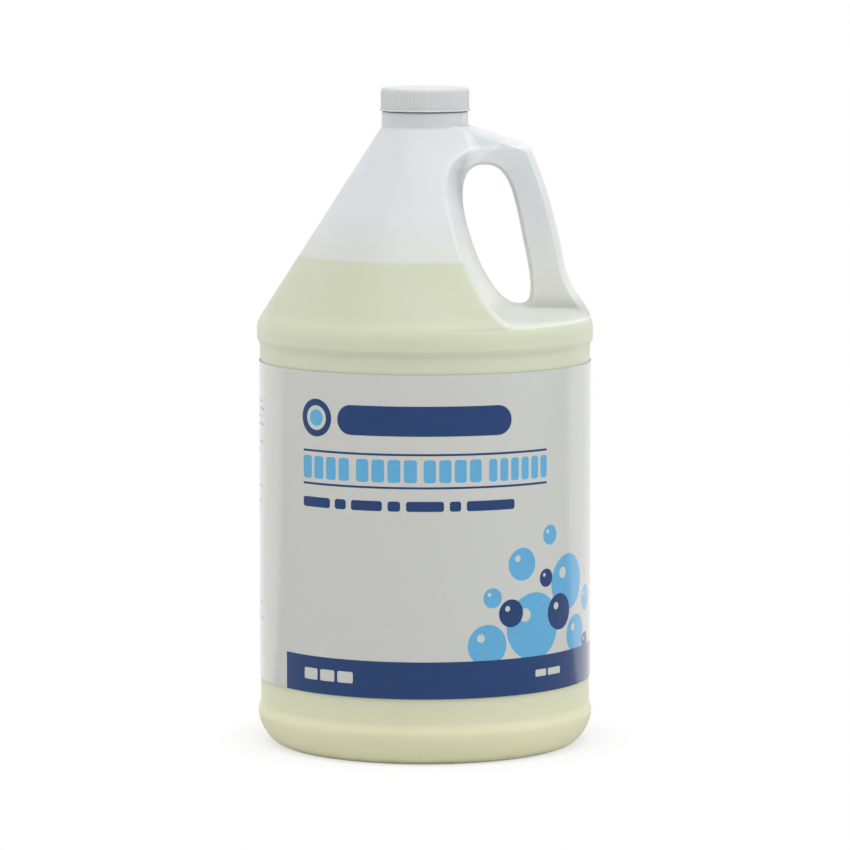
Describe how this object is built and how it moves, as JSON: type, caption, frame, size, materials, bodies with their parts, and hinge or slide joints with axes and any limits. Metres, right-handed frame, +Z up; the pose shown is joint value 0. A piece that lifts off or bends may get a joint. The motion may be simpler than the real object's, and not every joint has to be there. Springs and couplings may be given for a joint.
{
  "type": "hand soap refill jug",
  "caption": "Round translucent plastic refill jug of liquid hand soap with a moulded-in through handle, a ribbed screw cap and a wrap-round label.",
  "frame": {"origin": "on the jug's axis, in the plane of the foot that it stands on", "axes": "+Z up along the jug's axis, +X towards the handle, -Y towards the front of the label"},
  "size_m": [0.1558, 0.1558, 0.3042],
  "materials": {
    "bottle_wall": "translucent natural polyethylene, satin",
    "soap_liquid": "clear pale yellow-green liquid",
    "label_film": "glossy white film with blue print",
    "cap_plastic": "white polypropylene, fine ribs, satin",
    "liner_foam": "white foam sheet, matt"
  },
  "bodies": {
    "bottle": {"bottle": "bottle_wall", "soap": "soap_liquid", "label": "label_film"},
    "liner": {"cap_liner": "liner_foam"},
    "cap": {"cap": "cap_plastic"}
  },
  "joints": [
    {"name": "cap_lift", "type": "slide", "parent": "bottle", "child": "liner", "axis": [0, 0, 1], "range_m": [0, 0.011]},
    {"name": "cap_turn", "type": "hinge", "parent": "liner", "child": "cap", "pos_m": [0, 0, 0.299], "axis": [0, 0, 1], "range_deg": [0, 930]}
  ],
  "couplings": [
    {"joint": "cap_lift", "follows": "cap_turn", "m_per_rad": 0.00067375}
  ]
}
